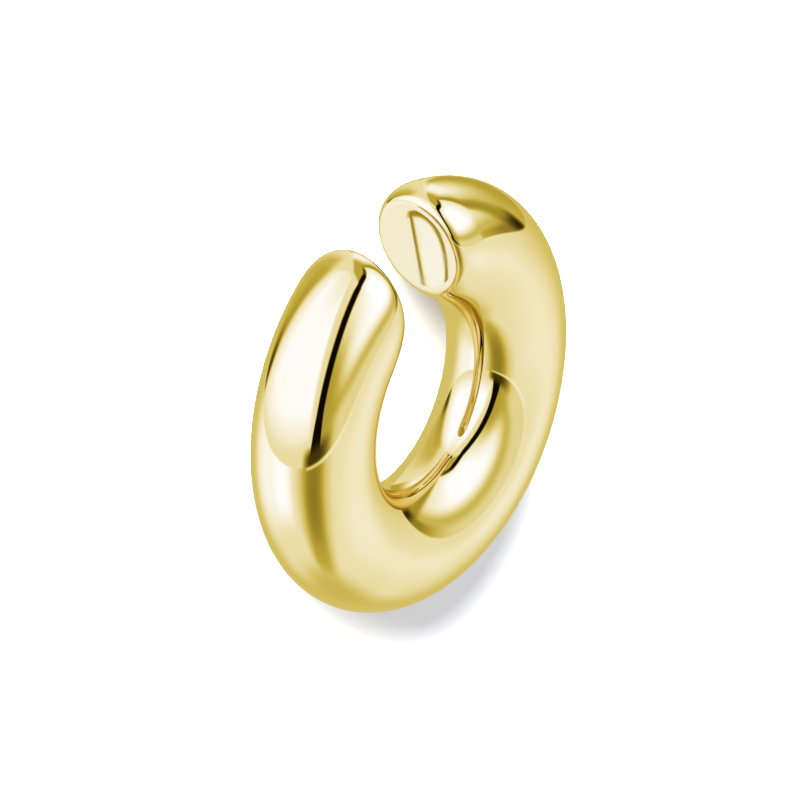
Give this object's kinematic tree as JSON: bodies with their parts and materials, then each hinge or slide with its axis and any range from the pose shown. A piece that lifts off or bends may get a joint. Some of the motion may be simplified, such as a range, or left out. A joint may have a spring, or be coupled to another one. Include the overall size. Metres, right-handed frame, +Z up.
{
  "type": "ear cuff",
  "caption": "Chunky open ear cuff: a round polished gold ring with a gap between two flat end faces, worn on the rim of the ear.",
  "frame": {"origin": "on the surface that the cuff rests on, under the middle of its bounding box", "axes": "+Z up along the ring's axis as the cuff lies on its side, +Y towards the gap, +X across the gap"},
  "size_m": [0.015, 0.0146, 0.004],
  "materials": {
    "polished_gold": "mirror-polished pale yellow gold plating"
  },
  "bodies": {
    "root": {"cuff_band": "polished_gold"}
  },
  "joints": []
}
